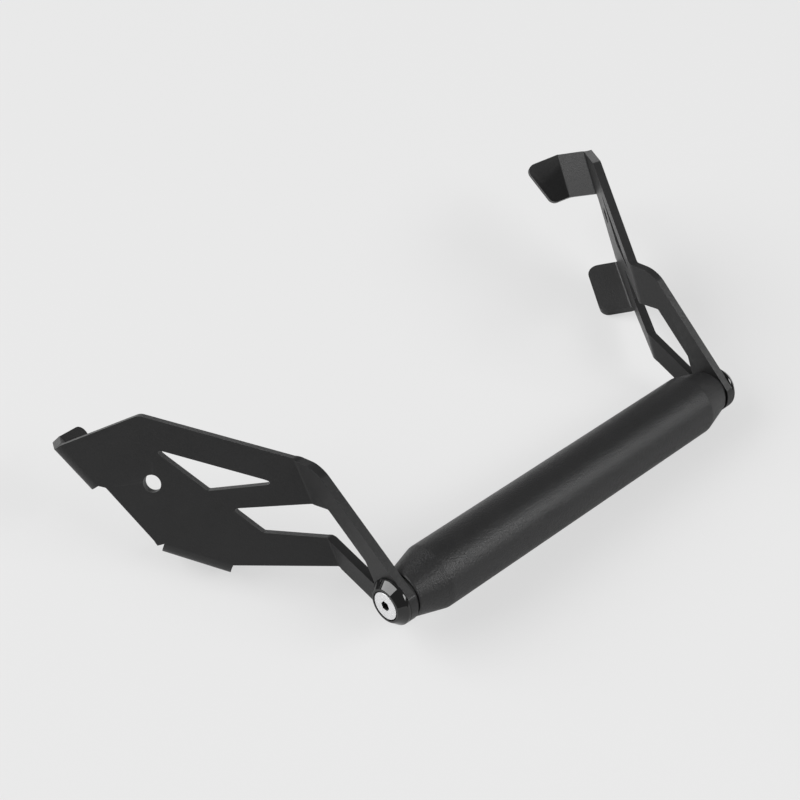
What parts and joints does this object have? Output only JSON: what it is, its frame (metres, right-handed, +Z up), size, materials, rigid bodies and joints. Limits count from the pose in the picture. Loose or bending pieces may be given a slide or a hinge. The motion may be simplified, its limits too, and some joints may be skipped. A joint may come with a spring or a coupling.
{
  "type": "phone mount",
  "caption": "Crossbar phone mount: round bar with a cut-out, double-hooked bent sheet arm pivoted on each end, for a phone or display clamp.",
  "frame": {"origin": "centre of the bar, on its axis, midway between the arms", "axes": "+X along the bar to the right arm, +Y towards the hooks, +Z up; a 22.2 mm bar clamp seats on the X axis"},
  "size_m": [0.2534, 0.135, 0.0633],
  "materials": {
    "bar_black": "fine blasted black anodised, satin",
    "arm_black": "fine-grained matt black coating",
    "washer_black": "matt",
    "cup_black": "gloss black anodised, turned",
    "screw_steel": "bright, finely turned"
  },
  "bodies": {
    "bar": {"crossbar": "bar_black", "left_friction_washer": "washer_black", "right_friction_washer": "washer_black"},
    "left_arm": {"left_arm": "arm_black"},
    "right_arm": {"right_arm": "arm_black"},
    "left_cup": {"left_cup_washer": "cup_black"},
    "right_cup": {"right_cup_washer": "cup_black"},
    "left_screw": {"left_screw": "screw_steel"},
    "right_screw": {"right_screw": "screw_steel"}
  },
  "joints": [
    {"name": "left_arm_turn", "type": "hinge", "parent": "bar", "child": "left_arm", "pos_m": [-0.0785, 0, 0], "axis": [1, 0, 0], "continuous": true},
    {"name": "right_arm_turn", "type": "hinge", "parent": "bar", "child": "right_arm", "pos_m": [0.0785, 0, 0], "axis": [1, 0, 0], "continuous": true},
    {"name": "left_cup_lift", "type": "slide", "parent": "bar", "child": "left_cup", "axis": [-1, 0, 0], "range_m": [0, 0.0008]},
    {"name": "right_cup_lift", "type": "slide", "parent": "bar", "child": "right_cup", "axis": [1, 0, 0], "range_m": [0, 0.0008]},
    {"name": "left_screw_turn", "type": "hinge", "parent": "left_cup", "child": "left_screw", "pos_m": [-0.08, 0, 0], "axis": [-1, 0, 0], "range_deg": [0, 360]},
    {"name": "right_screw_turn", "type": "hinge", "parent": "right_cup", "child": "right_screw", "pos_m": [0.08, 0, 0], "axis": [1, 0, 0], "range_deg": [0, 360]}
  ],
  "couplings": [
    {"joint": "left_screw_turn", "follows": "left_cup_lift", "rad_per_m": 7854},
    {"joint": "right_screw_turn", "follows": "right_cup_lift", "rad_per_m": 7854}
  ]
}
